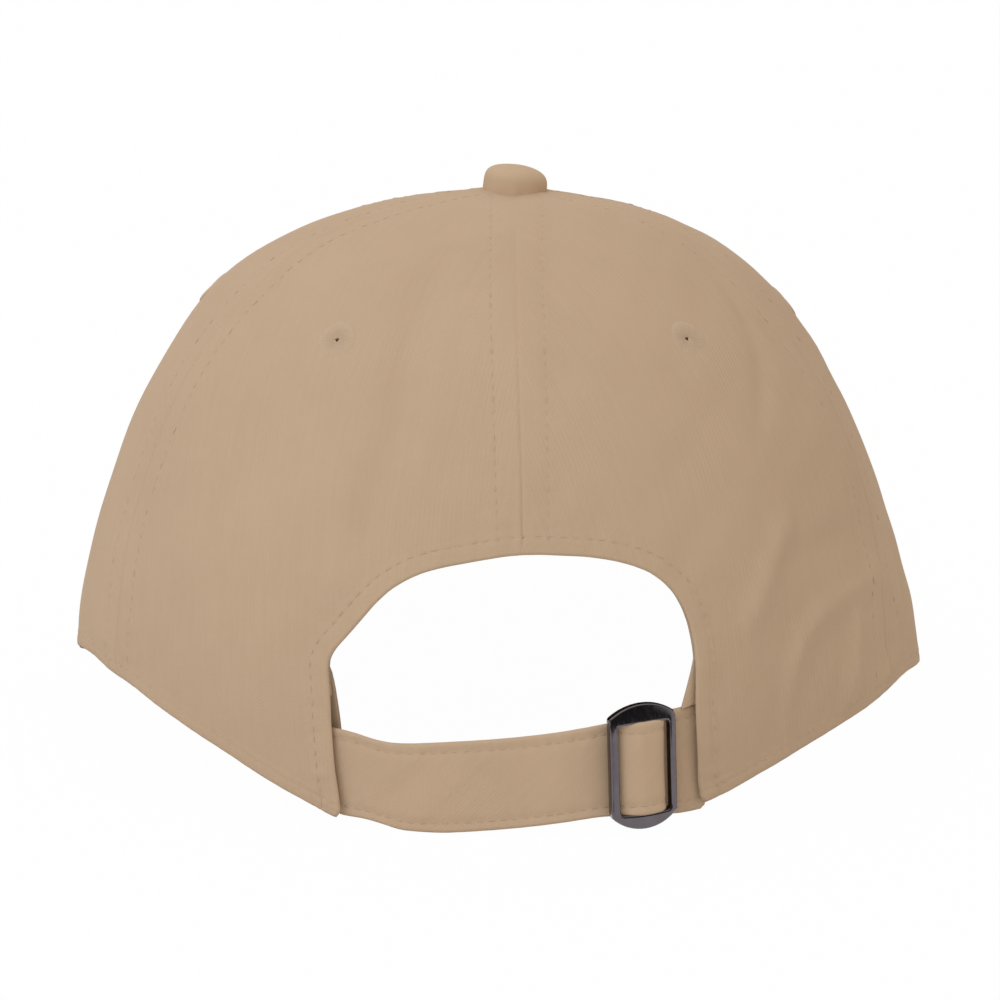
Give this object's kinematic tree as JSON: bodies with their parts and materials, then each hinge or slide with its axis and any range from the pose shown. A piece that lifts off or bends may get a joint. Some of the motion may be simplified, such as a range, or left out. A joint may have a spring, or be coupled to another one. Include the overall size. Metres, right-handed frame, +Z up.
{
  "type": "baseball cap",
  "caption": "Six-panel cap in khaki twill with a curved visor, covered top button, rear arch opening and a fabric strap with a sliding metal buckle.",
  "frame": {"origin": "bottom centre of the whole cap's box, on the surface it stands on", "axes": "+Z up; -Y out along the visor; +Y to the rear opening and strap; +X to the wearer's left"},
  "size_m": [0.1946, 0.25, 0.1357],
  "materials": {
    "crown_twill": "matt brushed cotton twill, khaki",
    "visor_twill": "the crown's twill, laid over the board with rows of topstitching",
    "strap_twill": "the crown's twill, folded and edge stitched",
    "button_twill": "the crown's twill drawn over a metal shell",
    "eyelet_thread": "tone on tone embroidery thread, slight sheen",
    "seam_tape": "folded cotton tape, khaki",
    "sweatband_cloth": "cotton twill band, khaki",
    "visor_board": "moulded sheet, hidden inside the visor",
    "rivet_metal": "pressed metal, hidden inside the button",
    "gunmetal": "smooth gunmetal plating, dark with a purple-grey cast"
  },
  "bodies": {
    "crown": {"crown_panel_rear_left": "crown_twill", "crown_panel_rear_right": "crown_twill", "crown_panel_side_left": "crown_twill", "crown_panel_side_right": "crown_twill", "crown_panel_front_left": "crown_twill", "crown_panel_front_right": "crown_twill", "eyelet_rear_left": "eyelet_thread", "eyelet_rear_right": "eyelet_thread", "eyelet_side_left": "eyelet_thread", "eyelet_side_right": "eyelet_thread", "eyelet_front_left": "eyelet_thread", "eyelet_front_right": "eyelet_thread", "seam_tape_front_centre": "seam_tape", "seam_tape_front_left": "seam_tape", "seam_tape_front_right": "seam_tape", "seam_tape_rear_left": "seam_tape", "seam_tape_rear_right": "seam_tape", "seam_tape_rear_centre": "seam_tape", "rear_arch_facing": "seam_tape", "sweatband": "sweatband_cloth", "visor_top_cover": "visor_twill", "visor_board": "visor_board", "visor_under_cover": "visor_twill", "button_cover": "button_twill", "button_shell": "rivet_metal", "button_rivet": "rivet_metal", "strap_front_run": "strap_twill", "strap_return_run": "strap_twill", "strap_keeper_bar": "gunmetal"},
    "slider": {"buckle_frame": "gunmetal", "strap_end_loop": "strap_twill", "strap_bight": "strap_twill"}
  },
  "joints": [
    {"name": "buckle_slide", "type": "hinge", "parent": "crown", "child": "slider", "pos_m": [0, 0.03904, 0.01239], "axis": [0.061, 0, 0.9981], "range_deg": [-40, 0.5]}
  ]
}
